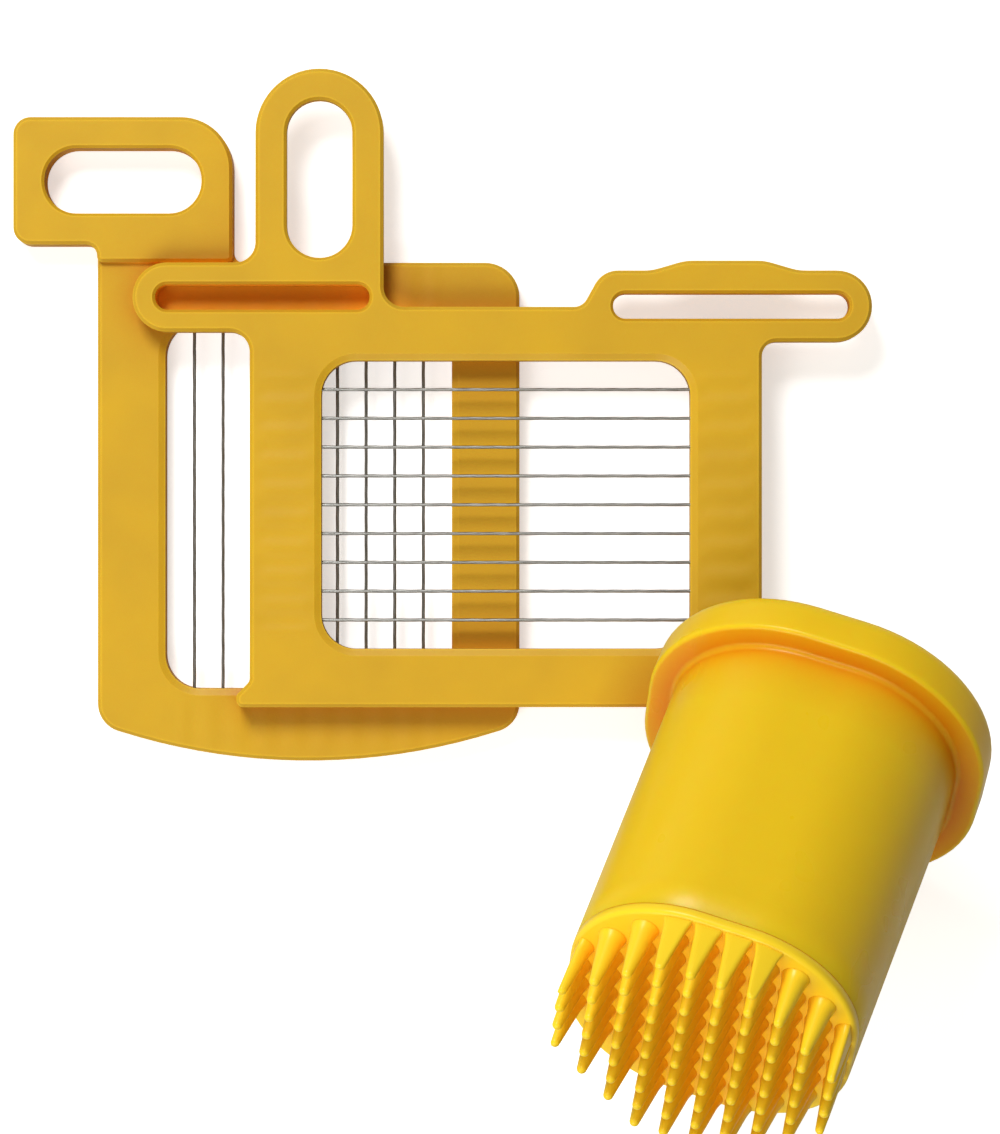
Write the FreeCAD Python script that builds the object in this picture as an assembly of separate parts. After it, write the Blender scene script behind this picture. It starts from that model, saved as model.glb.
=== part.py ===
import FreeCAD
import Part

import math
import os

V = FreeCAD.Vector

# Driving dimensions, in millimetres and degrees.
# Origin: centre of the rear window, on the table that the set lies on. +Y runs up the handles.

# Wire grid that both frames and the pusher's pins share
PITCH = 5.0
WIRE_COUNT = 9
WIRE_DIAMETER = 0.6
WIRE_CLEARANCE = 0.02
WIRE_SEAT = 8.0
WIRE_BELOW_FACE = 1.6

# Egg windows, the same in both frames but turned a quarter turn
WINDOW_LONG = 64.0
WINDOW_SHORT = 50.0
WINDOW_RADIUS = 6.0
RIM_WIDTH = 1.2
RIM_DEPTH = 0.5

# Frame plates and the way they lie on each other
PLATE = 5.0
STACK_GAP = 0.2
EDGE_BEVEL = 0.6
SLOT_EDGE_BEVEL = 0.5
ROUND_SLACK = 0.05
FRONT_SHIFT = 34.4

# Handle slots, which cross on one centre when the windows line up
GRIP_INSET = 4.5
GRIP_NECK = 3.1
GRIP_SLOT_LONG = 27.4
GRIP_SLOT_SHORT = 11.4
GRIP_BAR = 5.4
HANDLE_RISE = 1.4
HANDLE_CLEARANCE = 0.4
SHOULDER_CLEARANCE = 0.3

# Rear frame
REAR_SIDE_BAR = 11.8
REAR_TOP_BAR = 10.3
REAR_BOTTOM_BAR = 12.6
REAR_BELLY_ANGLE = 17.6
REAR_BELLY_SHARE = 0.99
REAR_LOWER_RADIUS = 5.0
REAR_UPPER_RADIUS = 6.0
REAR_HANDLE_RADIUS = 3.0
REAR_HANDLE_FAR_RADIUS = 9.0
REAR_NECK_FILLET = 2.0
SHOULDER_RADIUS = 1.0

# Front frame
FRONT_SIDE_BAR = 12.4
FRONT_TOP_BAR = 9.3
FRONT_BOTTOM_BAR = 10.1
FRONT_INNER_FILLET = 3.5
LUG_REACH = 2.3
LUG_HEIGHT = 2.1
LUG_SLOPE = 2.4
LUG_RADIUS = 1.2
LEFT_EAR_REACH = 20.3
LEFT_EAR_HEIGHT = 12.0
RIGHT_EAR_REACH = 19.1
RIGHT_EAR_HEIGHT = 12.3
RIGHT_EAR_RISE = 6.3
RIGHT_EAR_LENGTH = 50.2
RIGHT_EAR_SLOPE = 3.5
RIGHT_EAR_SHOULDER_RADIUS = 4.5
RIGHT_EAR_FOOT_RADIUS = 2.5
RIGHT_EAR_FILLET = 2.6
CROWN_HEIGHT = 1.7
CROWN_INSET = 12.8
CROWN_LENGTH = 25.4
CROWN_SLOPE = 5.8
CROWN_RADIUS = 9.0
EAR_SLOT_HEIGHT = 4.4
EAR_SLOT_END_WALL = 3.9
LEFT_EAR_SLOT_LENGTH = 37.2
RIGHT_EAR_SLOT_LENGTH = 41.0

# Pusher: rounded squares with a short flat on each side, stacked along one axis
PUSHER_FLAT = 8.0
FLANGE_WIDTH = 58.8
FLANGE_HEIGHT = 8.2
PALM_ROUND = 3.0
PALM_ROUND_STEPS = 2
LIP_BEVEL = 0.8
BODY_LENGTH = 57.4
BODY_ROOT_WIDTH = 49.6
BODY_END_WIDTH = 48.2
BODY_ROOT_BEVEL = 1.0
BODY_WALL = 2.2
PALM_WALL = 3.0
PIN_PLATE = 1.8
PIN_PLATE_BEVEL = 0.6
PLUG_DEPTH = 4.0
PLUG_WALL = 2.0
PLUG_CLEARANCE = 0.05
PIN_ROWS = 10
PIN_FIELD_RADIUS = 24.2
PIN_ROOT_DIAMETER = 4.3
PIN_TIP_DIAMETER = 1.4
PIN_LENGTH = 10.0
PIN_SIDES = 6

# Place of the palm's middle from the front frame's lower right corner, before the frames' height is taken
# off so that it clears them, and the lean of the pusher
PALM_BESIDE = 9.9
PALM_ABOVE = 8.9
PUSHER_HEADING = 245.0
PUSHER_RISE = 38.5
PUSHER_ROLL = 12.2

# Length by which a cutter passes the face that it starts from, and what counts as flat
CUT_OVER = 1.0
FLAT = 1e-4

# Places that follow from the driving dimensions
GRIP_X = -WINDOW_SHORT / 2 - REAR_SIDE_BAR + GRIP_INSET
GRIP_Y = WINDOW_LONG / 2 + REAR_TOP_BAR + GRIP_NECK + GRIP_BAR + GRIP_SLOT_SHORT / 2
FRONT_BACK_LEVEL = PLATE + STACK_GAP
FRONT_FACE_LEVEL = FRONT_BACK_LEVEL + PLATE
RIGHT_EAR_TOP = WINDOW_SHORT / 2 + FRONT_TOP_BAR + RIGHT_EAR_RISE
RIGHT_EAR_END = WINDOW_LONG / 2 + FRONT_SIDE_BAR + RIGHT_EAR_REACH
RIGHT_EAR_START = RIGHT_EAR_END - RIGHT_EAR_LENGTH
CROWN_END = RIGHT_EAR_END - CROWN_INSET
CROWN_START = CROWN_END - CROWN_LENGTH
PIN_FACE_LEVEL = FLANGE_HEIGHT + BODY_LENGTH
PALM_X = FRONT_SHIFT + WINDOW_LONG / 2 + FRONT_SIDE_BAR + PALM_BESIDE
PALM_Y = -WINDOW_SHORT / 2 - FRONT_BOTTOM_BAR + PALM_ABOVE - FRONT_FACE_LEVEL


def rounded_wire(corners):
    """Close a flat outline through (x, y, radius) corners, each rounded by a tangent arc."""
    count = len(corners)
    trims = []
    for i in range(count):
        before = V(*corners[i - 1][:2])
        here = V(*corners[i][:2])
        after = V(*corners[(i + 1) % count][:2])
        into = (here - before).normalize()
        out = (after - here).normalize()
        turn = into.getAngle(out)
        reach = corners[i][2] * math.tan(turn / 2)
        bisector = (out - into).normalize()
        middle = here + bisector * (corners[i][2] / math.cos(turn / 2) - corners[i][2])
        trims.append((here - into * reach, middle, here + out * reach))
    edges = []
    for i in range(count):
        start, middle, end = trims[i]
        edges.append(Part.Arc(start, middle, end).toShape())
        following = trims[(i + 1) % count][0]
        if following.distanceToPoint(end) > FLAT:
            edges.append(Part.LineSegment(end, following).toShape())
    return Part.Wire(edges)


def box_corners(width, height, radius, x=0.0, y=0.0):
    """Give the four corners of a rounded rectangle about (x, y)."""
    left, right = x - width / 2, x + width / 2
    low, high = y - height / 2, y + height / 2
    return [(left, low, radius), (right, low, radius), (right, high, radius), (left, high, radius)]


def slot_corners(width, height, x, y):
    """Give the corners of a slot whose short ends are full rounds."""
    return box_corners(width, height, min(width, height) / 2 - ROUND_SLACK, x, y)


def prism(corners, bottom, top):
    """Raise a rounded outline from one level to another."""
    face = Part.Face(rounded_wire(corners))
    face.translate(V(0, 0, bottom))
    return face.extrude(V(0, 0, top - bottom))


def edges_at(solid, level):
    """Find the edges that lie flat at a level."""
    found = []
    for edge in solid.Edges:
        box = edge.BoundBox
        if box.ZLength < FLAT and abs(box.ZMin - level) < FLAT:
            found.append(edge)
    return found


def bevelled_plate(corners, bottom, top):
    """Raise an outline to a plate with its upper rim bevelled; the lower rim is the mould's parting line."""
    plate = prism(corners, bottom, top)
    return plate.makeChamfer(EDGE_BEVEL, edges_at(plate, top))


def grown_corners(corners, reach):
    """Move the corners of a rounded rectangle outwards and enlarge their radii."""
    middle_x = sum(c[0] for c in corners) / len(corners)
    middle_y = sum(c[1] for c in corners) / len(corners)
    return [(x + math.copysign(reach, x - middle_x), y + math.copysign(reach, y - middle_y), r + reach)
            for x, y, r in corners]


def sloped_rim(corners, width, level_low, level_high):
    """Make the sloping part of a hole's rim, which widens from one level to the other."""
    narrow = rounded_wire(corners)
    narrow.translate(V(0, 0, level_low))
    wide = rounded_wire(grown_corners(corners, width))
    wide.translate(V(0, 0, level_high))
    return Part.makeLoft([narrow, wide], True, True)


def slot_hole(corners, bottom, top):
    """Make the cutter of a through slot with its upper rim bevelled."""
    hole = prism(corners, bottom - CUT_OVER, top + CUT_OVER)
    return hole.fuse(sloped_rim(corners, SLOT_EDGE_BEVEL, top - SLOT_EDGE_BEVEL, top))


def window_hole(width, height, bottom, top):
    """Make the cutter of an egg window with its sloping rim on the front face."""
    corners = box_corners(width, height, WINDOW_RADIUS)
    hole = prism(corners, bottom - CUT_OVER, top + CUT_OVER)
    return hole.fuse(sloped_rim(corners, RIM_WIDTH, top - RIM_DEPTH, top))


def wire_places():
    """Give the offsets of the wires from the middle of the window."""
    return [(i - (WIRE_COUNT - 1) / 2) * PITCH for i in range(WIRE_COUNT)]


def wire_length():
    """Length of a wire across a window with a seat in the bar at each end."""
    return WINDOW_LONG + 2 * WIRE_SEAT


def wire_rod(offset, level):
    """Make one straight wire along X."""
    length = wire_length()
    return Part.makeCylinder(WIRE_DIAMETER / 2, length, V(-length / 2, offset, level), V(1, 0, 0))


def wire_seat(offset, level):
    """Make the square passage along X that a wire's two ends lie in."""
    side = WIRE_DIAMETER + 2 * WIRE_CLEARANCE
    corner = V(-wire_length() / 2, offset - side / 2, level - side / 2)
    return Part.makeBox(wire_length(), side, side, corner)


def strung_frame(plate, turn, level):
    """Cut the wire seats into a frame and return it with the wires that lie in them."""
    seats = [wire_seat(offset, level) for offset in wire_places()]
    wires = [wire_rod(offset, level) for offset in wire_places()]
    for shape in seats + wires:
        shape.rotate(V(0, 0, 0), V(0, 0, 1), turn)
    return plate.cut(Part.makeCompound(seats)), wires


def rear_outline():
    """Outline the rear frame: a body with a rounded belly, and a sideways handle on a neck."""
    half = WINDOW_SHORT / 2 + REAR_SIDE_BAR
    top = WINDOW_LONG / 2 + REAR_TOP_BAR
    slope = math.radians(REAR_BELLY_ANGLE)
    corner_reach = REAR_LOWER_RADIUS * math.tan((math.pi / 2 - slope) / 2)
    belly_radius = REAR_BELLY_SHARE * (half / math.cos(slope) - corner_reach) / math.tan(slope)
    apex = -WINDOW_LONG / 2 - REAR_BOTTOM_BAR - belly_radius * (1 / math.cos(slope) - 1)
    low = apex + half * math.tan(slope)
    left, right, bottom, high = rear_handle_box()
    return [
        (-half, low, REAR_LOWER_RADIUS), (0, apex, belly_radius), (half, low, REAR_LOWER_RADIUS),
        (half, top, REAR_UPPER_RADIUS), (right, top, REAR_NECK_FILLET),
        (right, high, REAR_HANDLE_FAR_RADIUS), (left, high, REAR_HANDLE_RADIUS),
        (left, bottom, REAR_HANDLE_RADIUS), (-half, bottom, REAR_NECK_FILLET)]


def rear_handle_box():
    """Give the left, right, bottom and top of the rear handle round its slot."""
    reach_x = GRIP_SLOT_LONG / 2 + GRIP_BAR
    reach_y = GRIP_SLOT_SHORT / 2 + GRIP_BAR
    return GRIP_X - reach_x, GRIP_X + reach_x, GRIP_Y - reach_y, GRIP_Y + reach_y


def rear_handle_pad():
    """Make the thicker handle, which ends in a shoulder along the top of the body."""
    half = WINDOW_SHORT / 2 + REAR_SIDE_BAR
    shoulder = WINDOW_LONG / 2 + REAR_TOP_BAR
    left, right, bottom, high = rear_handle_box()
    outline = [
        (-half, shoulder, SHOULDER_RADIUS), (right, shoulder, SHOULDER_RADIUS),
        (right, high, REAR_HANDLE_FAR_RADIUS), (left, high, REAR_HANDLE_RADIUS),
        (left, bottom, REAR_HANDLE_RADIUS), (-half, bottom, REAR_NECK_FILLET)]
    return bevelled_plate(outline, PLATE / 2, PLATE + HANDLE_RISE)


def rear_frame():
    """Build the rear frame, whose wires run along Y, and its wires."""
    plate = bevelled_plate(rear_outline(), 0, PLATE)
    plate = plate.fuse(rear_handle_pad())
    slot = slot_corners(GRIP_SLOT_LONG, GRIP_SLOT_SHORT, GRIP_X, GRIP_Y)
    plate = plate.cut(slot_hole(slot, 0, PLATE + HANDLE_RISE))
    plate = plate.cut(window_hole(WINDOW_SHORT, WINDOW_LONG, 0, PLATE)).removeSplitter()
    return strung_frame(plate, -90, PLATE - WIRE_BELOW_FACE)


def left_ear_top():
    """Level of the left ear's upper edge, which runs along the rear handle's shoulder."""
    return WINDOW_LONG / 2 + REAR_TOP_BAR - SHOULDER_CLEARANCE


def front_outline():
    """Outline the front frame: body, two foot lugs, two slotted ears and an upright handle."""
    half = WINDOW_LONG / 2 + FRONT_SIDE_BAR
    top = WINDOW_SHORT / 2 + FRONT_TOP_BAR
    bottom = -WINDOW_SHORT / 2 - FRONT_BOTTOM_BAR
    lug = half + LUG_REACH
    lug_top = bottom + LUG_HEIGHT
    grip_half = GRIP_SLOT_SHORT / 2 + GRIP_BAR
    grip_left, grip_right = GRIP_X - grip_half, GRIP_X + grip_half
    grip_top = GRIP_Y + GRIP_SLOT_LONG / 2 + GRIP_BAR
    grip_round = grip_half - ROUND_SLACK
    ear_left = -half - LEFT_EAR_REACH
    ear_high = left_ear_top()
    ear_low = ear_high - LEFT_EAR_HEIGHT
    ear_round = LEFT_EAR_HEIGHT / 2 - ROUND_SLACK
    right_low = RIGHT_EAR_TOP - RIGHT_EAR_HEIGHT
    right_round = RIGHT_EAR_HEIGHT / 2 - ROUND_SLACK
    crown = RIGHT_EAR_TOP + CROWN_HEIGHT
    return [
        (-lug, bottom, LUG_RADIUS), (lug, bottom, LUG_RADIUS), (lug, lug_top, LUG_RADIUS),
        (half, lug_top + LUG_SLOPE, LUG_RADIUS), (half, right_low, RIGHT_EAR_FILLET),
        (RIGHT_EAR_END, right_low, right_round), (RIGHT_EAR_END, RIGHT_EAR_TOP, right_round),
        (CROWN_END, RIGHT_EAR_TOP, CROWN_RADIUS), (CROWN_END - CROWN_SLOPE, crown, CROWN_RADIUS),
        (CROWN_START + CROWN_SLOPE, crown, CROWN_RADIUS), (CROWN_START, RIGHT_EAR_TOP, CROWN_RADIUS),
        (RIGHT_EAR_START + RIGHT_EAR_SLOPE, RIGHT_EAR_TOP, RIGHT_EAR_SHOULDER_RADIUS),
        (RIGHT_EAR_START, top, RIGHT_EAR_FOOT_RADIUS), (grip_right, top, FRONT_INNER_FILLET),
        (grip_right, grip_top, grip_round), (grip_left, grip_top, grip_round),
        (grip_left, ear_high, FRONT_INNER_FILLET), (ear_left, ear_high, ear_round),
        (ear_left, ear_low, ear_round), (-half, ear_low, FRONT_INNER_FILLET),
        (-half, lug_top + LUG_SLOPE, LUG_RADIUS), (-lug, lug_top, LUG_RADIUS)]


def front_slots():
    """Give the outlines of the front frame's handle slot and its two ear slots."""
    half = WINDOW_LONG / 2 + FRONT_SIDE_BAR
    left_middle = left_ear_top() - LEFT_EAR_HEIGHT / 2
    left_x = -half - LEFT_EAR_REACH + EAR_SLOT_END_WALL + LEFT_EAR_SLOT_LENGTH / 2
    right_middle = RIGHT_EAR_TOP - RIGHT_EAR_HEIGHT / 2
    right_x = RIGHT_EAR_END - EAR_SLOT_END_WALL - RIGHT_EAR_SLOT_LENGTH / 2
    return [
        slot_corners(GRIP_SLOT_SHORT, GRIP_SLOT_LONG, GRIP_X, GRIP_Y),
        slot_corners(LEFT_EAR_SLOT_LENGTH, EAR_SLOT_HEIGHT, left_x, left_middle),
        slot_corners(RIGHT_EAR_SLOT_LENGTH, EAR_SLOT_HEIGHT, right_x, right_middle)]


def handle_relief():
    """Make the cutter that thins the front handle, so that it passes over the rear one."""
    reach = GRIP_SLOT_LONG / 2 + GRIP_BAR + FRONT_INNER_FILLET
    depth = HANDLE_RISE - STACK_GAP + HANDLE_CLEARANCE
    return Part.makeBox(2 * reach, 2 * reach, depth, V(GRIP_X - reach, left_ear_top(), FRONT_BACK_LEVEL))


def front_frame():
    """Build the front frame, whose wires run along X, and its wires, in the photographed place."""
    low, high = FRONT_BACK_LEVEL, FRONT_FACE_LEVEL
    plate = bevelled_plate(front_outline(), low, high)
    for slot in front_slots():
        plate = plate.cut(slot_hole(slot, low, high))
    plate = plate.cut(handle_relief())
    plate = plate.cut(window_hole(WINDOW_LONG, WINDOW_SHORT, low, high)).removeSplitter()
    plate, wires = strung_frame(plate, 0, high - WIRE_BELOW_FACE)
    for shape in [plate] + wires:
        shape.translate(V(FRONT_SHIFT, 0, 0))
    return plate, wires


def square_corners(width):
    """Give the corners of one of the pusher's rounded squares."""
    return box_corners(width, width, (width - PUSHER_FLAT) / 2)


def square_stack(sections):
    """Rule a solid through rounded squares, given as (level, width) from the palm up."""
    wires = []
    for level, width in sections:
        wire = rounded_wire(square_corners(width))
        wire.translate(V(0, 0, level))
        wires.append(wire)
    return Part.makeLoft(wires, True, True)


def quarter_round(radius, steps=1):
    """Give (along, across) places on a quarter round, or on a bevel in its stead where there is one step."""
    angles = [k * math.pi / 2 / steps for k in range(steps + 1)]
    return [(radius * (1 - math.cos(a)), radius * (1 - math.sin(a))) for a in angles]


def body_width(level):
    """Give the drafted body's width at a level above the palm."""
    share = (level - FLANGE_HEIGHT) / BODY_LENGTH
    return BODY_ROOT_WIDTH + share * (BODY_END_WIDTH - BODY_ROOT_WIDTH)


def pusher_body():
    """Build the hollow body with its closed palm flange, standing on its palm."""
    palm = [(along, FLANGE_WIDTH - 2 * across) for along, across in quarter_round(PALM_ROUND, PALM_ROUND_STEPS)]
    lip = [(FLANGE_HEIGHT - along, FLANGE_WIDTH - 2 * across) for along, across in quarter_round(LIP_BEVEL)]
    flange = square_stack(palm + lip[::-1])
    seam = PIN_FACE_LEVEL - PIN_PLATE
    root = [(FLANGE_HEIGHT + along, body_width(FLANGE_HEIGHT + along) + 2 * across)
            for along, across in quarter_round(BODY_ROOT_BEVEL)]
    outside = flange.fuse(square_stack(root + [(seam, body_width(seam))]))
    bore = prism(square_corners(body_width(seam) - 2 * BODY_WALL), PALM_WALL, seam + CUT_OVER)
    return outside.cut(bore).removeSplitter()


def pin():
    """Build one tapered many-sided pin with a blunt tip, rooted in the pin plate."""
    root = PIN_ROOT_DIAMETER / 2
    tip = PIN_TIP_DIAMETER / 2
    sections = [(-PIN_PLATE / 2, root), (0, root), (PIN_LENGTH - tip / 2, tip), (PIN_LENGTH, tip / 2)]
    turns = [(k + 0.5) * 2 * math.pi / PIN_SIDES for k in range(PIN_SIDES + 1)]
    rings = [[V(r * math.cos(a), r * math.sin(a), level) for a in turns] for level, r in sections]
    faces = [Part.Face(Part.makePolygon(rings[0])), Part.Face(Part.makePolygon(rings[-1]))]
    for low, high in zip(rings, rings[1:]):
        for k in range(PIN_SIDES):
            side = [low[k], low[k + 1], high[k + 1], high[k], low[k]]
            faces.append(Part.Face(Part.makePolygon(side)))
    return Part.makeSolid(Part.makeShell(faces))


def pin_places():
    """Give the grid places whose middles fall inside the round pin field."""
    row = [(i - (PIN_ROWS - 1) / 2) * PITCH for i in range(PIN_ROWS)]
    return [(x, y) for x in row for y in row if math.hypot(x, y) < PIN_FIELD_RADIUS]


def pin_plate():
    """Build the end plate with its plug and its field of pins, trimmed to the body's outline."""
    face = PIN_FACE_LEVEL
    seam = face - PIN_PLATE
    shoulder = face - PIN_PLATE_BEVEL
    plate = square_stack([(seam, body_width(seam)), (shoulder, body_width(shoulder)),
                          (face, body_width(face) - 2 * PIN_PLATE_BEVEL)])
    plug_width = body_width(seam) - 2 * (BODY_WALL + PLUG_CLEARANCE)
    plug = prism(square_corners(plug_width), seam - PLUG_DEPTH, seam)
    hollow = prism(square_corners(plug_width - 2 * PLUG_WALL), seam - PLUG_DEPTH - CUT_OVER, seam)
    trim = prism(square_corners(body_width(face)), seam, face + PIN_LENGTH + CUT_OVER)
    inside = PIN_FIELD_RADIUS - PITCH
    model = pin()
    pins = []
    for x, y in pin_places():
        copy = model.copy()
        copy.translate(V(x, y, face))
        pins.append(copy if math.hypot(x, y) < inside else copy.common(trim))
    return plate.fuse([plug.cut(hollow)] + pins).removeSplitter()


def lay_pusher(shapes):
    """Lean the pusher on the edge of its flange, with its palm over its stated place."""
    lean = FreeCAD.Rotation(V(0, 0, 1), PUSHER_HEADING)
    lean = lean.multiply(FreeCAD.Rotation(V(0, 1, 0), 90 - PUSHER_RISE))
    lean = lean.multiply(FreeCAD.Rotation(V(0, 0, 1), PUSHER_ROLL))
    for shape in shapes:
        shape.Placement = FreeCAD.Placement(V(PALM_X, PALM_Y, 0), lean)
    lift = -min(shape.optimalBoundingBox().ZMin for shape in shapes)
    for shape in shapes:
        shape.translate(V(0, 0, lift))


def main():
    """Build every piece in its place and write one file for each."""
    os.makedirs("parts", exist_ok=True)
    nodes = {}
    nodes["rear_frame"], rear_wires = rear_frame()
    nodes["front_frame"], front_wires = front_frame()
    for i in range(WIRE_COUNT):
        nodes[f"rear_wire_{i + 1}"] = rear_wires[i]
        nodes[f"front_wire_{i + 1}"] = front_wires[i]
    nodes["pusher_body"] = pusher_body()
    nodes["pin_plate"] = pin_plate()
    lay_pusher([nodes["pusher_body"], nodes["pin_plate"]])
    for name, shape in nodes.items():
        shape.exportStep(f"parts/{name}.step")
        print(name, "solids", len(shape.Solids), "valid", shape.isValid(),
              "volume", round(shape.Volume, 1))


main()
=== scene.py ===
"""Looks of a hand egg dicer: two strung frames and a pin pusher, laid out and seen from above."""

import logging
import math
from dataclasses import dataclass
from enum import Enum

import bpy
import numpy as np
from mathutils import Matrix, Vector

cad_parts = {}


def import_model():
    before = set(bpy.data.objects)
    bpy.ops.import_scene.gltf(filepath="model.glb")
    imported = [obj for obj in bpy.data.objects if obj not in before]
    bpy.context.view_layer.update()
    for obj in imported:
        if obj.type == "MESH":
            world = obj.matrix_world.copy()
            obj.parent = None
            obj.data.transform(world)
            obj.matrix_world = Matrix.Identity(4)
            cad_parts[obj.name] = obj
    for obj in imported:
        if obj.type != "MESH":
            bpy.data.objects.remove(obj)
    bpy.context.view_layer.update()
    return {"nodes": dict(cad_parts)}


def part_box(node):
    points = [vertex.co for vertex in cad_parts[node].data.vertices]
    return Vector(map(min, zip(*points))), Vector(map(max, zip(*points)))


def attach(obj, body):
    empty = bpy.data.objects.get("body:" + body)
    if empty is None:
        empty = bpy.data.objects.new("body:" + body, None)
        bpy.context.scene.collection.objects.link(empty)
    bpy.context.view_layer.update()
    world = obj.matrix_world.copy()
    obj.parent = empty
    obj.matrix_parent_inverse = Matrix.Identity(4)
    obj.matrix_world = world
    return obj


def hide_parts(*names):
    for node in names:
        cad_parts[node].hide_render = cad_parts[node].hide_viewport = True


LOG = logging.getLogger("egg_dicer")
MM = 0.001

Colour = tuple[float, float, float, float]
Place = tuple[float, float, float]

# Numbers of a Mix node's colour sockets, whose names its other sockets share.
MIX_FIRST, MIX_SECOND, MIX_RESULT = 6, 7, 2


class WireRun(Enum):
    """Which way a frame's wires run."""

    ALONG_X = "x"
    ALONG_Y = "y"


def put(tree: bpy.types.NodeTree, kind: str, inputs: dict | None = None,
        **settings: object) -> bpy.types.Node:
    """Add a node, set its options and fill its sockets.

    Args:
        tree: The node tree that takes the node.
        kind: Blender's name of the node type.
        inputs: Socket name or number to a value, or to an output socket to link.
        settings: Options set on the node itself.

    Returns:
        The new node.
    """
    node = tree.nodes.new(kind)
    for name, value in settings.items():
        setattr(node, name, value)
    for key, value in (inputs or {}).items():
        if isinstance(value, bpy.types.NodeSocket):
            tree.links.new(value, node.inputs[key])
        else:
            node.inputs[key].default_value = value
    return node


def blend_colours(tree: bpy.types.NodeTree, share: bpy.types.NodeSocket, first: Colour | bpy.types.NodeSocket,
                  second: Colour | bpy.types.NodeSocket) -> bpy.types.NodeSocket:
    """Mix two colours.

    Args:
        tree: The node tree that takes the node.
        share: How much there is of the second colour.
        first: A colour, or the socket that gives it.
        second: A colour, or the socket that gives it.

    Returns:
        The socket that gives the mixed colour.
    """
    mix = put(tree, "ShaderNodeMix", {"Factor": share, MIX_FIRST: first, MIX_SECOND: second},
              data_type="RGBA")
    return mix.outputs[MIX_RESULT]


def new_material(name: str) -> tuple[bpy.types.Material, bpy.types.Node]:
    """Start a material with a plain surface shader.

    Args:
        name: Name of the material.

    Returns:
        The material and its shader node.
    """
    made = bpy.data.materials.new(name)
    made.use_nodes = True
    return made, made.node_tree.nodes["Principled BSDF"]


def new_group(name: str, takes: dict[str, str],
              gives: dict[str, str]) -> tuple[bpy.types.NodeTree, bpy.types.Node, bpy.types.Node]:
    """Start a shader node group with named sockets.

    Args:
        name: Name of the group.
        takes: Input names and their socket types.
        gives: Output names and their socket types.

    Returns:
        The group, its input node and its output node.
    """
    group = bpy.data.node_groups.new(name, "ShaderNodeTree")
    for label, kind in takes.items():
        group.interface.new_socket(label, in_out="INPUT", socket_type=kind)
    for label, kind in gives.items():
        group.interface.new_socket(label, in_out="OUTPUT", socket_type=kind)
    return group, group.nodes.new("NodeGroupInput"), group.nodes.new("NodeGroupOutput")


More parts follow.
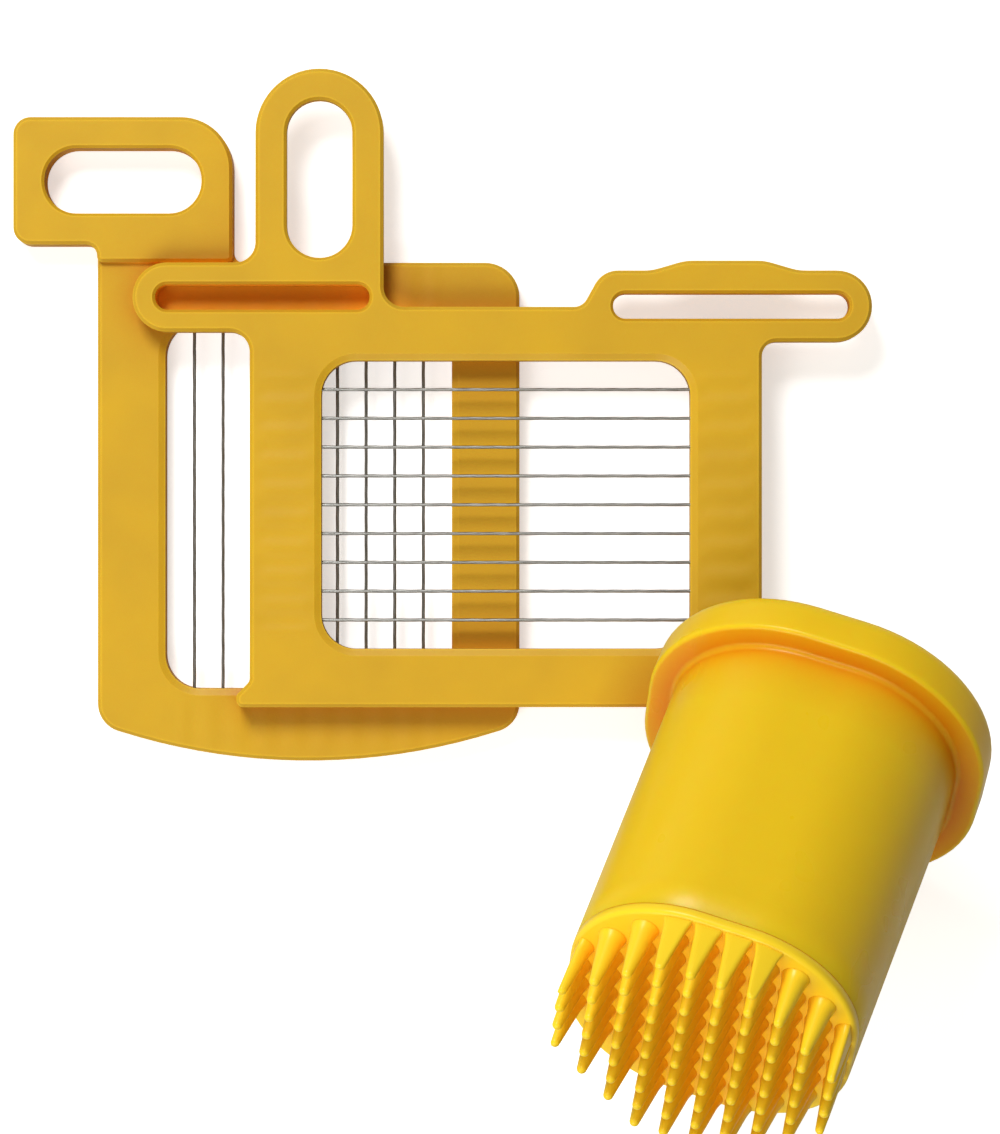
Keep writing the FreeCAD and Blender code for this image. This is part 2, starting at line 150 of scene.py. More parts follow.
class SharedEffects:
    """Node groups that more than one finish uses, built once."""

    FINE_DETAIL, FINE_ROUGHNESS = 4.0, 0.6
    BROAD_DETAIL, BROAD_ROUGHNESS = 2.0, 0.5
    SKY_SAMPLES = 8
    # Share of hidden sky where hollows have their full painted shade and their painted glow begins.
    SHADE_FULL = 0.5
    PAINTED_EDGE_SAMPLES = 6
    # Cosine of the turn where an edge has its full painted highlight.
    PAINTED_EDGE_TURN = 0.93
    SINK_FADE = 1.5 * MM
    # Half of the cosine's swing, downwards, so that a mark is one depth deep.
    SINK_SHARE = -0.5

    def __init__(self) -> None:
        """Build the groups."""
        self.grain = self._grain()
        self.painted_hollow_shade = self._painted_hollow_shade()
        self.painted_edge_light = self._painted_edge_highlight()
        self.sink = self._sink()

    def _grain(self) -> bpy.types.NodeTree:
        """Build fine mould grain and soft blotches: two noises on object coordinates.

        Returns:
            The group, from two scales to a height and a blotch share.
        """
        group, takes, gives = new_group(
            "mould_grain", {"Grain Scale": "NodeSocketFloat", "Blotch Scale": "NodeSocketFloat"},
            {"Height": "NodeSocketFloat", "Blotch": "NodeSocketFloat"})
        place = put(group, "ShaderNodeTexCoord")
        fine = put(group, "ShaderNodeTexNoise",
                   {"Vector": place.outputs["Object"], "Scale": takes.outputs["Grain Scale"],
                    "Detail": self.FINE_DETAIL, "Roughness": self.FINE_ROUGHNESS})
        broad = put(group, "ShaderNodeTexNoise",
                    {"Vector": place.outputs["Object"], "Scale": takes.outputs["Blotch Scale"],
                     "Detail": self.BROAD_DETAIL, "Roughness": self.BROAD_ROUGHNESS})
        group.links.new(fine.outputs["Fac"], gives.inputs["Height"])
        group.links.new(broad.outputs["Fac"], gives.inputs["Blotch"])
        return group

    def _painted_hollow_shade(self) -> bpy.types.NodeTree:
        """Build painted shade and painted glow in hollows: painted shade beside steps, then a painted warm
        glow where light would come only through plastic.

        Returns:
            The group, from three colours, an amount and a reach to one colour.
        """
        group, takes, gives = new_group(
            "painted_hollow_shade_and_glow", {"Colour": "NodeSocketColor", "Painted Shade Colour": "NodeSocketColor",
                            "Painted Glow Colour": "NodeSocketColor", "Amount": "NodeSocketFloat",
                            "Reach": "NodeSocketFloat"},
            {"Colour": "NodeSocketColor"})
        # Painted shade, then painted glow, grow with the share of sky that a point cannot see.
        open_sky = put(group, "ShaderNodeAmbientOcclusion", {"Distance": takes.outputs["Reach"]},
                       samples=self.SKY_SAMPLES)
        shut = put(group, "ShaderNodeMath", {0: 1.0, 1: open_sky.outputs["AO"]}, operation="SUBTRACT")
        share = put(group, "ShaderNodeMath", {0: shut.outputs[0], 1: takes.outputs["Amount"]},
                    operation="MULTIPLY")
        below = takes.outputs["Colour"]
        for label, start, full in (("Painted Shade Colour", 0.0, self.SHADE_FULL),
                                   ("Painted Glow Colour", self.SHADE_FULL, 1.0)):
            part = put(group, "ShaderNodeMapRange",
                       {"Value": share.outputs[0], "From Min": start, "From Max": full})
            below = blend_colours(group, part.outputs[0], below, takes.outputs[label])
        group.links.new(below, gives.inputs["Colour"])
        return group

    def _painted_edge_highlight(self) -> bpy.types.NodeTree:
        """Build a painted highlight along edges, where a rounded normal leaves the face's own.

        Returns:
            The group, from two colours, an amount and a width to one colour.
        """
        group, takes, gives = new_group(
            "painted_edge_highlight", {"Colour": "NodeSocketColor", "Painted Edge Light Colour": "NodeSocketColor",
                        "Amount": "NodeSocketFloat", "Width": "NodeSocketFloat"},
            {"Colour": "NodeSocketColor"})
        # Painted highlight where the rounded normal turns away from the face's own.
        rounded = put(group, "ShaderNodeBevel", {"Radius": takes.outputs["Width"]},
                      samples=self.PAINTED_EDGE_SAMPLES)
        face = put(group, "ShaderNodeNewGeometry")
        same = put(group, "ShaderNodeVectorMath", {0: rounded.outputs["Normal"], 1: face.outputs["Normal"]},
                   operation="DOT_PRODUCT")
        edge = put(group, "ShaderNodeMapRange",
                   {"Value": same.outputs["Value"], "From Min": 1.0, "From Max": self.PAINTED_EDGE_TURN,
                    "To Min": 0.0, "To Max": 1.0}, interpolation_type="SMOOTHSTEP")
        share = put(group, "ShaderNodeMath", {0: edge.outputs[0], 1: takes.outputs["Amount"]},
                    operation="MULTIPLY", use_clamp=True)
        mixed = blend_colours(group, share.outputs[0], takes.outputs["Colour"], takes.outputs["Painted Edge Light Colour"])
        group.links.new(mixed, gives.inputs["Colour"])
        return group

    def _sink(self) -> bpy.types.NodeTree:
        """Build shallow sink marks over moulded-in wire ends: a cosine across the bar, faded at its edges.

        Returns:
            The group, from a place and the bar's sizes to a height.
        """
        group, takes, gives = new_group(
            "sink_marks", {"Vector": "NodeSocketVector", "Pitch": "NodeSocketFloat",
                           "Inner": "NodeSocketFloat", "Outer": "NodeSocketFloat",
                           "Reach": "NodeSocketFloat"},
            {"Height": "NodeSocketFloat"})
        split = put(group, "ShaderNodeSeparateXYZ", {"Vector": takes.outputs["Vector"]})
        turns = put(group, "ShaderNodeMath", {0: split.outputs["Y"], 1: takes.outputs["Pitch"]},
                    operation="DIVIDE")
        angle = put(group, "ShaderNodeMath", {0: turns.outputs[0], 1: 2 * math.pi}, operation="MULTIPLY")
        wave = put(group, "ShaderNodeMath", {0: angle.outputs[0]}, operation="COSINE")
        away = put(group, "ShaderNodeMath", {0: split.outputs["X"]}, operation="ABSOLUTE")
        aside = put(group, "ShaderNodeMath", {0: split.outputs["Y"]}, operation="ABSOLUTE")
        result = wave.outputs[0]
        for value, edge, before, after in ((away, "Inner", 0.0, 1.0), (away, "Outer", 1.0, 0.0),
                                           (aside, "Reach", 1.0, 0.0)):
            past = put(group, "ShaderNodeMath", {0: value.outputs[0], 1: takes.outputs[edge]},
                       operation="SUBTRACT")
            step = put(group, "ShaderNodeMapRange",
                       {"Value": past.outputs[0], "From Min": -self.SINK_FADE, "From Max": self.SINK_FADE,
                        "To Min": before, "To Max": after}, interpolation_type="SMOOTHSTEP")
            result = put(group, "ShaderNodeMath", {0: result, 1: step.outputs[0]},
                         operation="MULTIPLY").outputs[0]
        low = put(group, "ShaderNodeMath", {0: result, 1: self.SINK_SHARE}, operation="MULTIPLY")
        group.links.new(low.outputs[0], gives.inputs["Height"])
        return group


@dataclass(frozen=True)
class SinkMarks:
    """Where a frame's sink marks lie: the frame's middle, its wires' run and its bars."""

    middle: tuple[float, float]
    run: WireRun
    pitch: float
    inner: float
    outer: float
    reach: float
    depth: float


@dataclass(frozen=True)
class PlasticFinish:
    """Moulded yellow plastic with a fine grain, a painted highlight along edges, and painted shade and
    painted glow in hollows.
    """

    name: str
    colour: Colour
    blotch: Colour
    # Painted shade and a painted warm glow in hollows, and a painted highlight along edges.
    shade: Colour
    deep: Colour
    painted_hollow_amount: float
    painted_hollow_reach: float
    painted_edge_light: Colour
    painted_edge_light_amount: float
    roughness: tuple[float, float]
    grain_scale: float
    grain_depth: float
    glow: float
    glow_reach: float
    glow_spread: tuple[float, float, float]
    shine: float
    blotch_scale: float = 70.0
    blotch_range: tuple[float, float] = (0.3, 0.7)
    painted_edge_light_width: float = 0.6 * MM
    grain_strength: float = 0.5
    refraction: float = 1.49

    def material(self, effects: SharedEffects, sink: SinkMarks | None = None) -> bpy.types.Material:
        """Build the material.

        Args:
            effects: The shared node groups.
            sink: Sink marks of a strung frame, if the piece has them.

        Returns:
            The finished material.
        """
        made, shader = new_material(self.name if sink is None else f"{self.name}_{sink.run.value}")
        tree = made.node_tree
        grain = put(tree, "ShaderNodeGroup",
                    {"Grain Scale": self.grain_scale, "Blotch Scale": self.blotch_scale},
                    node_tree=effects.grain)
        tree.links.new(self._tint(tree, effects, grain.outputs["Blotch"]), shader.inputs["Base Color"])
        (least, most), (low, high) = self.blotch_range, self.roughness
        rough = put(tree, "ShaderNodeMapRange",
                    {"Value": grain.outputs["Blotch"], "From Min": least, "From Max": most,
                     "To Min": low, "To Max": high})
        tree.links.new(rough.outputs[0], shader.inputs["Roughness"])
        bump = put(tree, "ShaderNodeBump",
                   {"Strength": self.grain_strength, "Distance": self.grain_depth,
                    "Height": grain.outputs["Height"]})
        if sink is not None:
            tree.links.new(self._sink_bump(tree, effects, sink), bump.inputs["Normal"])
        tree.links.new(bump.outputs["Normal"], shader.inputs["Normal"])
        shader.inputs["Subsurface Weight"].default_value = self.glow
        shader.inputs["Subsurface Radius"].default_value = self.glow_spread
        shader.inputs["Subsurface Scale"].default_value = self.glow_reach
        shader.inputs["IOR"].default_value = self.refraction
        shader.inputs["Specular IOR Level"].default_value = self.shine
        return made

    def _tint(self, tree: bpy.types.NodeTree, effects: SharedEffects,
              blotch: bpy.types.NodeSocket) -> bpy.types.NodeSocket:
        """Colour the plastic: blotched all over, with a painted highlight along edges, then painted shade and
        a painted warm glow in hollows.

        Args:
            tree: The material's node tree.
            effects: The shared node groups.
            blotch: The socket that gives the blotch share.

        Returns:
            The socket that gives the colour.
        """
        # Painted highlight along edges, then painted shade and painted glow in hollows.
        painted_edge_light = put(tree, "ShaderNodeGroup",
                  {"Colour": blend_colours(tree, blotch, self.colour, self.blotch), "Painted Edge Light Colour": self.painted_edge_light,
                   "Amount": self.painted_edge_light_amount, "Width": self.painted_edge_light_width}, node_tree=effects.painted_edge_light)
        painted_hollow_shade = put(tree, "ShaderNodeGroup",
                     {"Colour": painted_edge_light.outputs["Colour"], "Painted Shade Colour": self.shade, "Painted Glow Colour": self.deep,
                      "Amount": self.painted_hollow_amount, "Reach": self.painted_hollow_reach}, node_tree=effects.painted_hollow_shade)
        return painted_hollow_shade.outputs["Colour"]

    @staticmethod
    def _sink_bump(tree: bpy.types.NodeTree, effects: SharedEffects, sink: SinkMarks) -> bpy.types.NodeSocket:
        """Centre the sink marks on the frame and turn them into a normal.

        Args:
            tree: The material's node tree.
            effects: The shared node groups.
            sink: Where the marks lie.

        Returns:
            The socket that gives the normal.
        """
        place = put(tree, "ShaderNodeTexCoord")
        turn = 0.0 if sink.run is WireRun.ALONG_X else math.pi / 2
        centre = put(tree, "ShaderNodeMapping",
                     {"Vector": place.outputs["Object"], "Location": (*sink.middle, 0.0),
                      "Rotation": (0.0, 0.0, turn)}, vector_type="TEXTURE")
        marks = put(tree, "ShaderNodeGroup",
                    {"Vector": centre.outputs["Vector"], "Pitch": sink.pitch, "Inner": sink.inner,
                     "Outer": sink.outer, "Reach": sink.reach}, node_tree=effects.sink)
        bump = put(tree, "ShaderNodeBump",
                   {"Strength": 1.0, "Distance": sink.depth, "Height": marks.outputs["Height"]})
        return bump.outputs["Normal"]


@dataclass(frozen=True)
class SteelFinish:
    """Drawn steel wire, a little dull."""

    name: str = "drawn_steel"
    colour: Colour = (0.20, 0.20, 0.19, 1.0)
    streak: Colour = (0.42, 0.42, 0.40, 1.0)
    grain_scale: float = 2500.0
    streak_scale: float = 400.0
    roughness: tuple[float, float] = (0.28, 0.5)

    def material(self, effects: SharedEffects) -> bpy.types.Material:
        """Build the material from the shared grain.

        Args:
            effects: The shared node groups.

        Returns:
            The finished material.
        """
        made, shader = new_material(self.name)
        tree = made.node_tree
        grain = put(tree, "ShaderNodeGroup",
                    {"Grain Scale": self.grain_scale, "Blotch Scale": self.streak_scale},
                    node_tree=effects.grain)
        tint = blend_colours(tree, grain.outputs["Blotch"], self.colour, self.streak)
        tree.links.new(tint, shader.inputs["Base Color"])
        low, high = self.roughness
        rough = put(tree, "ShaderNodeMapRange",
                    {"Value": grain.outputs["Height"], "To Min": low, "To Max": high})
        tree.links.new(rough.outputs[0], shader.inputs["Roughness"])
        shader.inputs["Metallic"].default_value = 1.0
        return made


# In each finish, the shade and deep colours are painted shade and painted glow in hollows, and the edge
# colour is a painted highlight.
FRAME_FINISH = PlasticFinish(
    name="frame_yellow",
    colour=(0.730, 0.440, 0.021, 1.0), blotch=(0.560, 0.323, 0.012, 1.0),
    shade=(0.52, 0.225, 0.006, 1.0), deep=(1.0, 0.460, 0.016, 1.0),
    painted_hollow_amount=1.2, painted_hollow_reach=11 * MM,
    painted_edge_light=(1.0, 0.660, 0.030, 1.0), painted_edge_light_amount=0.45,
    roughness=(0.40, 0.52), grain_scale=1500.0, grain_depth=0.05 * MM,
    glow=0.12, glow_reach=2.0 * MM, glow_spread=(1.0, 0.45, 0.08), shine=0.3)
PUSHER_FINISH = PlasticFinish(
    name="pusher_yellow",
    colour=(0.85, 0.582, 0.014, 1.0), blotch=(0.82, 0.548, 0.012, 1.0),
    shade=(0.76, 0.230, 0.002, 1.0), deep=(0.76, 0.230, 0.002, 1.0),
    painted_hollow_amount=1.2, painted_hollow_reach=11 * MM,
    painted_edge_light=(0.97, 0.710, 0.016, 1.0), painted_edge_light_amount=0.4,
    roughness=(0.26, 0.36), grain_scale=900.0, grain_depth=0.03 * MM,
    glow=0.5, glow_reach=7.0 * MM, glow_spread=(1.0, 0.45, 0.08), shine=0.2)
# The pins' yellow is a lighter copy of the pusher's: painted light that brightens the pins and the hollows
# between them.
PIN_FINISH = PlasticFinish(
    name="pin_yellow",
    colour=(1.0, 0.700, 0.024, 1.0), blotch=(0.99, 0.680, 0.022, 1.0),
    shade=(0.95, 0.520, 0.014, 1.0), deep=(0.95, 0.450, 0.010, 1.0),
    painted_hollow_amount=0.6, painted_hollow_reach=5 * MM,
    painted_edge_light=(1.0, 0.720, 0.040, 1.0), painted_edge_light_amount=0.4,
    roughness=(0.28, 0.38), grain_scale=900.0, grain_depth=0.02 * MM,
    glow=0.1, glow_reach=1.5 * MM, glow_spread=(1.0, 0.75, 0.25), shine=0.25)
STEEL_FINISH = SteelFinish()


def grid_faces(rings: int, around: int, start: int = 0) -> np.ndarray:
    """Give the quads of rings joined round a closed outline.

    Args:
        rings: Number of rings.
        around: Number of points in each ring.
        start: Number of the first point.

    Returns:
        Point numbers, four to a face.
    """
    ring, step = np.meshgrid(np.arange(rings - 1), np.arange(around), indexing="ij")
    after = (step + 1) % around
    low, high = start + ring * around, start + (ring + 1) * around
    return np.stack([low + step, low + after, high + after, high + step], -1).reshape(-1, 4)


def closed_faces(rings: int, around: int, start: int = 0) -> list[np.ndarray]:
    """Give the faces of rings joined into a tube and closed by a flat cap at each end.

    Args:
        rings: Number of rings.
        around: Number of points in each ring.
        start: Number of the first point.

    Returns:
        Point numbers of each face, outward where the rings turn right-handed along the tube.
    """
    foot = start + np.arange(around)
    return [*grid_faces(rings, around, start), foot[::-1], foot + (rings - 1) * around]


def new_piece(name: str, points: np.ndarray, faces: list[np.ndarray],
              material: bpy.types.Material) -> bpy.types.Object:
    """Make a smooth mesh object at the origin.

    Args:
        name: Name of the piece.
        points: Places of the points, in metres.
        faces: Lists of point numbers, outward by the right-hand rule.
        material: The finish.

    Returns:
        The new object.
    """
    mesh = bpy.data.meshes.new(name)
    mesh.from_pydata(points.tolist(), [], [list(map(int, face)) for face in faces])
    mesh.polygons.foreach_set("use_smooth", np.ones(len(mesh.polygons), dtype=bool))
    mesh.materials.append(material)
    mesh.update()
    piece = bpy.data.objects.new(name, mesh)
    bpy.context.scene.collection.objects.link(piece)
    LOG.info("piece %s: %d points", name, len(points))
    return piece


@dataclass
class StrungFrame:
    """One plastic frame with its wires; the moulding is kept, the wires are remade as twisted strand."""

    key: str
    run: WireRun
    sink_depth: float
    sink_inside: float = 6.0 * MM
    sink_past: float = 2.5 * MM
    wires: int = 9
    pitch: float = 5.0 * MM
    strands: int = 3
    strand_lay: float = 4.2 * MM
    strand_depth: float = 0.09
    rings_per_lay: int = 10
    around: int = 15

    def along(self) -> int:
        """Number of the axis that the wires run along."""
        return 0 if self.run is WireRun.ALONG_X else 1

    def sink_marks(self) -> SinkMarks:
        """Work out where the sink marks lie from the frame's own wires.

        Returns:
            The marks' middle, run and sizes.
        """
        first_low, first_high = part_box(f"{self.key}_wire_1")
        last_low, last_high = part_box(f"{self.key}_wire_{self.wires}")
        middle = [(min(first_low[i], last_low[i]) + max(first_high[i], last_high[i])) / 2 for i in (0, 1)]
        along = self.along()
        half = (first_high[along] - first_low[along]) / 2
        return SinkMarks(middle=(middle[0], middle[1]), run=self.run, pitch=self.pitch,
                         inner=half - self.sink_inside, outer=half + self.sink_past,
                         reach=self.pitch * self.wires / 2, depth=self.sink_depth)

    def dress(self, nodes: dict[str, bpy.types.Object], effects: SharedEffects) -> None:
        """Give the moulding its finish and replace each wire.

        Args:
            nodes: The loaded objects by node name.
            effects: The shared node groups.
        """
        plate = nodes[f"{self.key}_frame"]
        plate.data.materials.clear()
        plate.data.materials.append(FRAME_FINISH.material(effects, self.sink_marks()))
        LOG.info("piece %s: finish only", plate.name)
        steel = STEEL_FINISH.material(effects)
        for number in range(1, self.wires + 1):
            self._strand(f"{self.key}_wire_{number}", steel)

    def _strand(self, node: str, steel: bpy.types.Material) -> None:
        """Make one wire: a circle whose radius ripples as three strands turn along the wire.

        Args:
            node: The wire's node name.
            steel: The wire's material.
        """
        low, high = (np.array(corner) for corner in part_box(node))
        along = self.along()
        aside = 1 - along
        # The circle turns right-handed along the wire, so that its faces point outwards.
        hand = 1 if self.run is WireRun.ALONG_X else -1
        length = high[along] - low[along]
        radius = (high[aside] - low[aside]) / 2
        rings = int(length / self.strand_lay * self.rings_per_lay)
        run, turn = np.meshgrid(np.linspace(0.0, length, rings),
                                np.linspace(0.0, 2 * math.pi, self.around, endpoint=False), indexing="ij")
        lobes = np.cos(self.strands * turn - 2 * math.pi * run / self.strand_lay)
        spread = radius * (1 - self.strand_depth * (1 - lobes) / 2)
        points = np.zeros((rings, self.around, 3))
        points[..., along] = low[along] + run
        points[..., aside] = (low[aside] + high[aside]) / 2 + hand * spread * np.cos(turn)
        points[..., 2] = (low[2] + high[2]) / 2 + spread * np.sin(turn)
        piece = new_piece(f"{node}_strand", points.reshape(-1, 3), closed_faces(rings, self.around), steel)
        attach(piece, f"{self.key}_frame")
        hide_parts(node)


@dataclass
class Pusher:
    """Hand pusher: rounded squares stacked along one axis, closed by a plate of tapered pins."""

    flat: float = 8.0 * MM
    flange_width: float = 58.8 * MM
    flange_height: float = 8.2 * MM
    palm_round: float = 3.0 * MM
    lip_round: float = 0.8 * MM
    body_length: float = 57.4 * MM
    root_width: float = 49.6 * MM
    end_width: float = 48.2 * MM
    root_fillet: float = 1.0 * MM
    plate: float = 1.8 * MM
    plate_round: float = 0.8 * MM
    seam_groove: float = 0.10 * MM
    pitch: float = 5.0 * MM
    pin_rows: int = 10
    field_radius: float = 24.2 * MM
    pin_root: float = 4.3 * MM
    pin_tip: float = 1.7 * MM
    pin_length: float = 10.0 * MM
    pin_sink: float = 0.3 * MM
    pin_flare: float = 0.25 * MM
    flare_height: float = 1.8 * MM
    wall_gap: float = 0.7 * MM
    heading: float = math.radians(245.0)
    rise: float = math.radians(38.5)
    roll: float = math.radians(12.2)
    palm_at: tuple[float, float] = (88.7 * MM, -36.4 * MM)
    corner_points: int = 20
    edge_points: int = 9
    side_rings: int = 12
    plate_points: int = 7
    pin_around: int = 16
    shaft_points: int = 5
    dome_points: int = 6
    pole_share: float = 50.0

    def face_level(self) -> float:
        """Level of the face that the pins stand on, above the palm."""
        return self.flange_height + self.body_length

    def lean(self) -> np.ndarray:
        """Turn the upright pusher to its heading, rise and roll.

        Returns:
            The three turns as one matrix.
        """
        def about_z(angle: float) -> np.ndarray:
            """Turn about the upright axis."""
            c, s = math.cos(angle), math.sin(angle)
            return np.array([[c, -s, 0.0], [s, c, 0.0], [0.0, 0.0, 1.0]])

        tilt = math.pi / 2 - self.rise
        c, s = math.cos(tilt), math.sin(tilt)
        about_y = np.array([[c, 0.0, s], [0.0, 1.0, 0.0], [-s, 0.0, c]])
        return about_z(self.heading) @ about_y @ about_z(self.roll)

    def placed(self, points: np.ndarray) -> np.ndarray:
        """Lay upright points in the pusher's place, with the palm's edge as low as the node's.

        Args:
            points: Points of the upright pusher, palm down.

        Returns:
            The points, turned and moved.
        """
        lean = self.lean()
        skin = self.outline_points(*self.body_sections()) @ lean.T
        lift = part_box("pusher_body")[0][2] - skin[..., 2].min()
        return points @ lean.T + np.array([*self.palm_at, lift])

    def outline_points(self, widths: np.ndarray, levels: np.ndarray) -> np.ndarray:
        """Give rounded squares: each point is a corner centre plus a radius along a turning direction.

        Args:
            widths: Width of each square.
            levels: Level of each square above the palm.

        Returns:
            Points by square and place round it.
        """
        quarter = np.linspace(0.0, math.pi / 2, self.corner_points)
        turn = (quarter[None, :] + np.arange(4)[:, None] * math.pi / 2).ravel()
        signs = np.repeat(np.array([[1, 1], [-1, 1], [-1, -1], [1, -1]]), self.corner_points, axis=0)
        centres = signs * self.flat / 2
        radii = (widths - self.flat) / 2
        x = centres[:, 0] + radii[:, None] * np.cos(turn)
        y = centres[:, 1] + radii[:, None] * np.sin(turn)
        return np.stack([x, y, np.broadcast_to(levels[:, None], x.shape)], -1)

    def body_width(self, level: np.ndarray | float) -> np.ndarray | float:
        """Give the drafted body's width at levels above the palm."""
        share = (level - self.flange_height) / self.body_length
        return self.root_width + share * (self.end_width - self.root_width)

    def body_sections(self) -> tuple[np.ndarray, np.ndarray]:
        """Give the body's outlines from the palm, round the flange's edge and the fillet, to the seam.

        Returns:
            Widths and levels.
        """
        quarter = np.linspace(0.0, math.pi / 2, self.edge_points)
        along, across = 1 - np.cos(quarter), 1 - np.sin(quarter)
        palm = self.palm_round * along
        lip = self.flange_height - self.lip_round * along[::-1]
        fillet = self.flange_height + self.root_fillet * along
        seam = self.face_level() - self.plate
        side = np.linspace(self.flange_height + self.root_fillet, seam - self.seam_groove,
                           self.side_rings)[1:]
        levels = np.concatenate([palm, lip, fillet, side, [seam]])
        widths = np.concatenate([
            self.flange_width - 2 * self.palm_round * across,
            self.flange_width - 2 * self.lip_round * across[::-1],
            self.body_width(fillet) + 2 * self.root_fillet * across,
            self.body_width(side), [self.body_width(seam) - 2 * self.seam_groove]])
        return widths, levels

    def capped(self, widths: np.ndarray, levels: np.ndarray) -> tuple[np.ndarray, list[np.ndarray]]:
        """Join stacked outlines into a closed skin with a flat cap at each end.

        Args:
            widths: Width of each outline.
            levels: Level of each outline.

        Returns:
            Points and faces.
        """
        points = self.outline_points(widths, levels)
        return points.reshape(-1, 3), closed_faces(*points.shape[:2])

    def plate_sections(self) -> tuple[np.ndarray, np.ndarray]:
        """Give the pin plate's outlines, from the seam to its rounded face.

        Returns:
            Widths and levels.
        """
        seam, face = self.face_level() - self.plate, self.face_level()
        quarter = np.linspace(0.0, math.pi / 2, self.plate_points)
        edge = self.plate_round
        levels = np.concatenate([[seam, seam + self.seam_groove], face - edge * (1 - np.sin(quarter))])
        widths = np.concatenate([[self.body_width(seam) - 2 * self.seam_groove, self.body_width(seam)],
                                 self.body_width(face) - 2 * edge * (1 - np.cos(quarter))])
        return widths, levels

    def pin_field(self, start: int) -> tuple[np.ndarray, list[np.ndarray]]:
        """Give all pins at once: tapered rings with a domed tip, drawn in where the body's wall trims them.

        Args:
            start: Number of the first point.

        Returns:
            Points and faces.
        """
        row = (np.arange(self.pin_rows) - (self.pin_rows - 1) / 2) * self.pitch
        grid = np.stack(np.meshgrid(row, row, indexing="ij"), -1).reshape(-1, 2)
        centres = grid[np.hypot(grid[:, 0], grid[:, 1]) < self.field_radius]
        root, tip = self.pin_root / 2, self.pin_tip / 2
        dome = np.linspace(0.0, math.pi / 2, self.dome_points)
        neck = self.pin_length - tip
        shaft = np.concatenate([np.linspace(-self.pin_sink, self.flare_height, self.shaft_points),
                                np.linspace(self.flare_height, neck, self.shaft_points)[1:-1]])
        flare = self.pin_flare * np.clip(1 - shaft / self.flare_height, 0.0, 1.0) ** 2
        radii = np.concatenate([root + shaft / neck * (tip - root) + flare,
                                np.maximum(tip * np.cos(dome), tip / self.pole_share)])
        rises = np.concatenate([shaft, neck + tip * np.sin(dome)])
        turn = np.linspace(0.0, 2 * math.pi, self.pin_around, endpoint=False)
        ring = np.stack([np.cos(turn), np.sin(turn)], -1)
        flat = self.inside_wall(centres[:, None, None, :] + radii[None, :, None, None] * ring)
        level = np.broadcast_to((self.face_level() + rises)[None, :, None, None], flat[..., :1].shape)
        points = np.concatenate([flat, level], -1)
        step = len(radii) * self.pin_around
        faces = [face for number in range(len(centres))
                 for face in closed_faces(len(radii), self.pin_around, start + number * step)]
        return points.reshape(-1, 3), faces

    def inside_wall(self, flat: np.ndarray) -> np.ndarray:
        """Draw points that pass the wall back onto it, towards the nearest corner centre or flat.

        Args:
            flat: Places across the plate.

        Returns:
            The places, none past the wall.
        """
        reach = (self.end_width - self.flat) / 2 - self.wall_gap
        core = np.clip(flat, -self.flat / 2, self.flat / 2)
        away = flat - core
        far = np.maximum(np.hypot(away[..., 0], away[..., 1]), np.finfo(float).tiny)[..., None]
        return core + away * np.minimum(1.0, reach / far)

    def build(self, effects: SharedEffects) -> None:
        """Make the body and the pin plate and put them in place of their nodes.

        Args:
            effects: The shared node groups.
        """
        points, faces = self.capped(*self.body_sections())
        self._stand_for("pusher_body", "pusher_shell", points, faces, PUSHER_FINISH.material(effects))
        points, faces = self.capped(*self.plate_sections())
        pins, pin_faces = self.pin_field(len(points))
        self._stand_for("pin_plate", "pin_field", np.concatenate([points, pins]), faces + pin_faces,
                        PIN_FINISH.material(effects))

    def _stand_for(self, node: str, name: str, points: np.ndarray, faces: list[np.ndarray],
                   plastic: bpy.types.Material) -> None:
        """Put one remade piece in its node's place.

        Args:
            node: Name of the node that the piece stands for.
            name: Name of the piece.
            points: Points of the upright piece.
            faces: Point numbers of each face.
            plastic: The piece's material.
        """
        piece = new_piece(name, self.placed(points), faces, plastic)
        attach(piece, "pusher")
        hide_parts(node)


@dataclass(frozen=True)
class SoftLight:
    """A square soft light and the place that it faces."""

    name: str
    at: Place
    aim: Place
    size: float
    power: float

    def hang(self) -> None:
        """Add the light to the scene, turned towards its aim."""
        lamp = bpy.data.lights.new(self.name, "AREA")
        lamp.shape = "SQUARE"
        lamp.size = self.size
        lamp.energy = self.power
        holder = bpy.data.objects.new(self.name, lamp)
        bpy.context.scene.collection.objects.link(holder)
        holder.location = self.at
        holder.rotation_euler = (Vector(self.aim) - Vector(self.at)).to_track_quat("-Z", "Y").to_euler()


KEY_LIGHT = SoftLight("key_light", at=(-0.25, 0.60, 0.74), aim=(0.03, -0.02, 0.02), size=0.35, power=7.2)
FILL_LIGHT = SoftLight("fill_light", at=(-0.20, -0.44, 0.46), aim=(0.05, -0.08, 0.05), size=0.40, power=2.5)


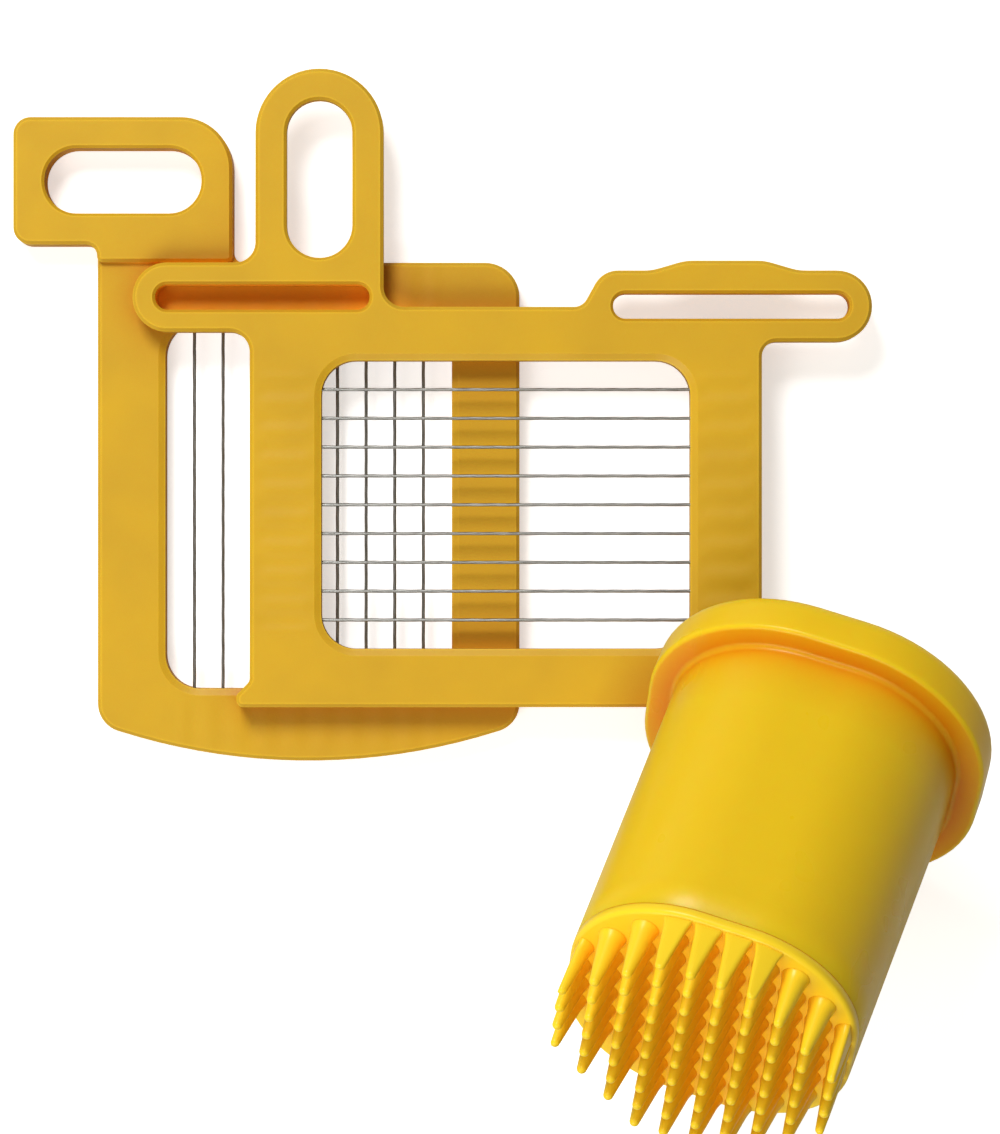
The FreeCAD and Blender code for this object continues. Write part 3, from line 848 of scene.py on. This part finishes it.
@dataclass
class Studio:
    """Pale floor, soft lights and a camera straight above, as in the photograph."""

    camera_at: Place = (33.4 * MM, -10.8 * MM, 754.3 * MM)
    focal_pixels: float = 4296.0
    image_height: float = 1134.0
    sensor: float = 36.0
    nearest: float = 0.01
    lights: tuple[SoftLight, ...] = (KEY_LIGHT, FILL_LIGHT)
    air_colour: Colour = (1.0, 0.88, 0.68, 1.0)
    air_strength: float = 0.21
    floor_size: float = 4.0
    floor_drop: float = 0.1 * MM
    floor_shade: float = 0.93
    floor_bounce: float = 0.6
    floor_glow: float = 0.55
    floor_light: Colour = (1.0, 1.0, 1.0, 1.0)
    floor_roughness: float = 0.9
    floor_shine: float = 0.1

    def build(self) -> None:
        """Set out the floor, the lights, the air and the camera."""
        self._floor()
        for light in self.lights:
            light.hang()
        world = bpy.data.worlds.new("studio_air")
        bpy.context.scene.world = world
        world.use_nodes = True
        back = world.node_tree.nodes["Background"]
        back.inputs["Color"].default_value = self.air_colour
        back.inputs["Strength"].default_value = self.air_strength
        self._camera()
        view = bpy.context.scene.view_settings
        view.view_transform = "Standard"
        view.look = "None"

    def _floor(self) -> None:
        """Lay a plain pale floor just under the frames, paler to the camera than in the light it returns."""
        half, low = self.floor_size / 2, -self.floor_drop
        square = np.array([(-half, -half, low), (half, -half, low), (half, half, low), (-half, half, low)])
        paper, shader = new_material("pale_floor")
        tree = paper.node_tree
        shader.inputs["Roughness"].default_value = self.floor_roughness
        shader.inputs["Specular IOR Level"].default_value = self.floor_shine
        shader.inputs["Emission Color"].default_value = self.floor_light
        seen = put(tree, "ShaderNodeLightPath")
        for label, thrown, shown in (("Base Color", self.floor_bounce, self.floor_shade),
                                     ("Emission Strength", 0.0, self.floor_glow)):
            level = put(tree, "ShaderNodeMapRange",
                        {"Value": seen.outputs["Is Camera Ray"], "To Min": thrown, "To Max": shown})
            tree.links.new(level.outputs[0], shader.inputs[label])
        new_piece("floor", square, [np.arange(len(square))], paper)

    def _camera(self) -> None:
        """Point the camera straight down with the photograph's field of view."""
        lens = bpy.data.cameras.new("camera")
        lens.sensor_fit = "VERTICAL"
        lens.sensor_height = self.sensor
        lens.lens = self.sensor * self.focal_pixels / self.image_height
        lens.clip_start = self.nearest
        camera = bpy.data.objects.new("camera", lens)
        bpy.context.scene.collection.objects.link(camera)
        camera.location = self.camera_at
        bpy.context.scene.camera = camera


def main() -> None:
    """Load the fixed frame, dress each sub-assembly and set out the studio."""
    logging.basicConfig(level=logging.INFO, format="%(name)s %(message)s")
    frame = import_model()
    effects = SharedEffects()
    StrungFrame("rear", WireRun.ALONG_Y, sink_depth=0.10 * MM).dress(frame["nodes"], effects)
    StrungFrame("front", WireRun.ALONG_X, sink_depth=0.22 * MM).dress(frame["nodes"], effects)
    Pusher().build(effects)
    Studio().build()


if __name__ == "__main__":
    main()
